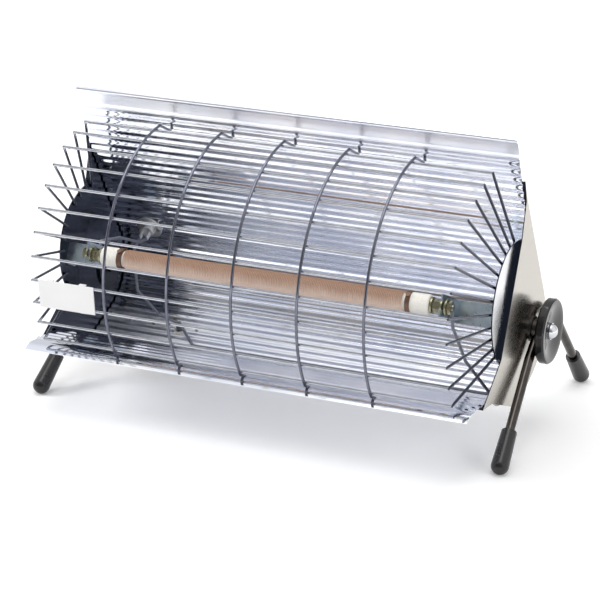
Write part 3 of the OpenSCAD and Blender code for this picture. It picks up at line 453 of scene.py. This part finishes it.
for finish, colour, rough, nodes in fittings:
    metal, tree, shader = new_material(finish)
    where = add(tree, "ShaderNodeTexCoord").outputs["Object"]
    stain = add(tree, "ShaderNodeTexNoise", {"Vector": where,
                                             "Scale": 1 / (stain_mm * MM)}).outputs["Fac"]
    tone = add(tree, "ShaderNodeHueSaturation", {"Color": linear(colour)})
    value = add(tree, "ShaderNodeMapRange", {"Value": stain, "To Min": stain_dark,
                                             "To Max": stain_light})
    tree.links.new(value.outputs["Result"], tone.inputs["Value"])
    tree.links.new(tone.outputs["Color"], shader.inputs["Base Color"])
    gloss = add(tree, "ShaderNodeMapRange", {"Value": stain, "To Min": rough - smoother_by,
                                             "To Max": rough + rougher_by})
    tree.links.new(gloss.outputs["Result"], shader.inputs["Roughness"])
    marks = add(tree, "ShaderNodeTexNoise", {"Vector": where,
                                             "Scale": 1 / (tool_mm * MM)}).outputs["Fac"]
    scratch = add(tree, "ShaderNodeBump", {"Height": marks, "Strength": 0.15,
                                           "Distance": 0.04 * MM})
    tree.links.new(scratch.outputs["Normal"], shader.inputs["Normal"])
    shader.inputs["Metallic"].default_value = 1.0
    dress(metal, *nodes)

# Leads
# Stranded wire in a woven glass sleeve, gone grey with heat. The braid is drawn a
# little coarse so that it shows.
braid_mm = 0.9
sleeve, tree, shader = new_material("glass_sleeve_woven")
where = add(tree, "ShaderNodeTexCoord").outputs["Object"]
cells = add(tree, "ShaderNodeTexVoronoi", {"Vector": where,
                                           "Scale": 1 / (braid_mm * MM)}).outputs["Distance"]
tone = add(tree, "ShaderNodeValToRGB", {"Fac": cells})
tone.color_ramp.elements[0].color = linear("#9095a3")
tone.color_ramp.elements[1].color = linear("#686c78")
tree.links.new(tone.outputs["Color"], shader.inputs["Base Color"])
shader.inputs["Roughness"].default_value = 0.75
weave = add(tree, "ShaderNodeBump", {"Height": cells, "Strength": 0.4, "Distance": 0.15 * MM},
            invert=True)
tree.links.new(weave.outputs["Normal"], shader.inputs["Normal"])
dress(sleeve, "element_leads")

# Knobs
# Discs of moulded phenolic with a dished face, polished all over. They have the mould's faint
# flow lines and the fine scuffs that handling leaves.
scuff_mm = 4.55
phenolic, tree, shader = new_material("phenolic_moulded_black")
where = add(tree, "ShaderNodeTexCoord").outputs["Object"]
scuff = add(tree, "ShaderNodeTexNoise", {"Vector": where, "Scale": 1 / (scuff_mm * MM),
                                         "Detail": 6.0}).outputs["Fac"]
gloss = add(tree, "ShaderNodeMapRange", {"Value": scuff, "To Min": 0.04, "To Max": 0.16})
tree.links.new(gloss.outputs["Result"], shader.inputs["Roughness"])
tone = add(tree, "ShaderNodeValToRGB", {"Fac": scuff})
tone.color_ramp.elements[0].color = linear("#0f0f11")
tone.color_ramp.elements[1].color = linear("#1a1a1d")
tree.links.new(tone.outputs["Color"], shader.inputs["Base Color"])
flow = add(tree, "ShaderNodeBump", {"Height": scuff, "Strength": 0.08, "Distance": 0.05 * MM})
tree.links.new(flow.outputs["Normal"], shader.inputs["Normal"])
for side in ("left", "right"):
    dress(phenolic, smooth_copy("knob_" + side, "knob_" + side, sharp_deg=25))

# Rubber feet, grommet and washers
# Moulded black rubber, satin with a fine grain and dusty in patches. The feet are pushed
# over the rods' ends. The pressed fibre washers have the same look.
grit_mm = 0.5
dust_mm = 22.2
rubber, tree, shader = new_material("rubber_moulded_black")
where = add(tree, "ShaderNodeTexCoord").outputs["Object"]
grain = add(tree, "ShaderNodeTexNoise", {"Vector": where, "Scale": 1 / (grit_mm * MM),
                                         "Detail": 3.0}).outputs["Fac"]
dust = add(tree, "ShaderNodeTexNoise", {"Vector": where,
                                        "Scale": 1 / (dust_mm * MM)}).outputs["Fac"]
tone = add(tree, "ShaderNodeValToRGB", {"Fac": dust})
tone.color_ramp.elements[0].color = linear("#101011")
tone.color_ramp.elements[1].color = linear("#2b2a2a")
tree.links.new(tone.outputs["Color"], shader.inputs["Base Color"])
gloss = add(tree, "ShaderNodeMapRange", {"Value": dust, "To Min": 0.2, "To Max": 0.38})
tree.links.new(gloss.outputs["Result"], shader.inputs["Roughness"])
rough_skin = add(tree, "ShaderNodeBump", {"Height": grain, "Strength": 0.2,
                                          "Distance": 0.05 * MM})
tree.links.new(rough_skin.outputs["Normal"], shader.inputs["Normal"])
for side in ("left", "right"):
    dress(rubber, smooth_copy("feet_" + side, "stand_" + side))
dress(rubber, "cord_grommet", "friction_washers")

# Floor
# A plain pale sheet under the heater. It keeps the shadows round the heater, and turns
# white further off where the camera or bright metal sees it.
floor_half = 6.0
glow_share = 0.17
shadow_reach = 0.6
white_from = 1.6
shape = bmesh.new()
bmesh.ops.create_grid(shape, x_segments=1, y_segments=1, size=floor_half)
floor_mesh = bpy.data.meshes.new("floor")
shape.to_mesh(floor_mesh)
shape.free()
floor = bpy.data.objects.new("floor", floor_mesh)
scene.collection.objects.link(floor)
paper, tree, shader = new_material("pale_floor")
shader.inputs["Base Color"].default_value = linear("#f4f4f4")
shader.inputs["Roughness"].default_value = 0.9
ray = add(tree, "ShaderNodeLightPath")
seen = add(tree, "ShaderNodeMath", {0: ray.outputs["Is Camera Ray"],
                                    1: ray.outputs["Is Glossy Ray"]}, operation="MAXIMUM")
spot = add(tree, "ShaderNodeTexCoord").outputs["Object"]
away = add(tree, "ShaderNodeVectorMath", {0: spot}, operation="LENGTH").outputs["Value"]
share = add(tree, "ShaderNodeMapRange", {"Value": away, "From Min": shadow_reach,
                                         "From Max": white_from, "To Min": glow_share,
                                         "To Max": 1.0})
glow = add(tree, "ShaderNodeMath", {0: seen.outputs[0], 1: share.outputs["Result"]},
           operation="MULTIPLY")
shader.inputs["Emission Color"].default_value = linear("#ffffff")
tree.links.new(glow.outputs[0], shader.inputs["Emission Strength"])
dress(paper, floor)

# Light
# Soft studio light: a big lamp overhead, a key from the left and a weak one from the right.
# Metal mirrors the overhead lamp, and a white room that is a little dimmer behind and dark in
# front.
room_light = 0.55
front_share = 0.3
front_darkest_at = -0.75
front_ends_at = -0.4
back_share = 0.75
back_starts_at = 0.3
back_dimmest_at = 0.8
world = bpy.data.worlds.new("studio")
world.use_nodes = True
scene.world = world
tree = world.node_tree
back = tree.nodes["Background"]
way = add(tree, "ShaderNodeTexCoord").outputs["Generated"]
depth = add(tree, "ShaderNodeSeparateXYZ", {"Vector": way}).outputs["Y"]
dark_front = add(tree, "ShaderNodeMapRange", {"Value": depth, "From Min": front_darkest_at,
                                              "From Max": front_ends_at,
                                              "To Min": front_share, "To Max": 1.0},
                 interpolation_type="SMOOTHSTEP")
dim_back = add(tree, "ShaderNodeMapRange", {"Value": depth, "From Min": back_starts_at,
                                            "From Max": back_dimmest_at,
                                            "To Min": 1.0, "To Max": back_share},
               interpolation_type="SMOOTHSTEP")
mirrored = add(tree, "ShaderNodeMath", {0: dark_front.outputs["Result"],
                                        1: dim_back.outputs["Result"]}, operation="MULTIPLY")
ray = add(tree, "ShaderNodeLightPath")
seen = add(tree, "ShaderNodeMath", {0: ray.outputs["Is Camera Ray"],
                                    1: ray.outputs["Is Transmission Ray"]}, operation="MAXIMUM")
by_gloss = add(tree, "ShaderNodeMix", {0: ray.outputs["Is Glossy Ray"], 2: room_light,
                                       3: mirrored.outputs[0]})
strength = add(tree, "ShaderNodeMix", {0: seen.outputs[0], 2: by_gloss.outputs[0], 3: 1.0})
tree.links.new(strength.outputs[0], back.inputs["Strength"])
back.inputs["Color"].default_value = linear("#ffffff")

# Each lamp has its place and size in metres, its watts, and whether metal mirrors it.
lamps = (
    ("overhead", (0.0, 0.0, 2.2), 1.6, 21.0, True),
    ("key", (-2.1, -0.8, 1.5), 0.9, 30.0, False),
    ("fill", (2.0, -0.6, 1.1), 0.8, 9.0, False),
)
aim_at = Vector((0.0, 0.0, 0.12))
for name, place, size, watts, in_metal in lamps:
    lamp = bpy.data.lights.new(name, "AREA")
    lamp.size = size
    lamp.energy = watts
    holder = bpy.data.objects.new(name, lamp)
    holder.location = place
    holder.rotation_euler = (aim_at - Vector(place)).to_track_quat("-Z", "Y").to_euler()
    holder.visible_glossy = in_metal
    scene.collection.objects.link(holder)
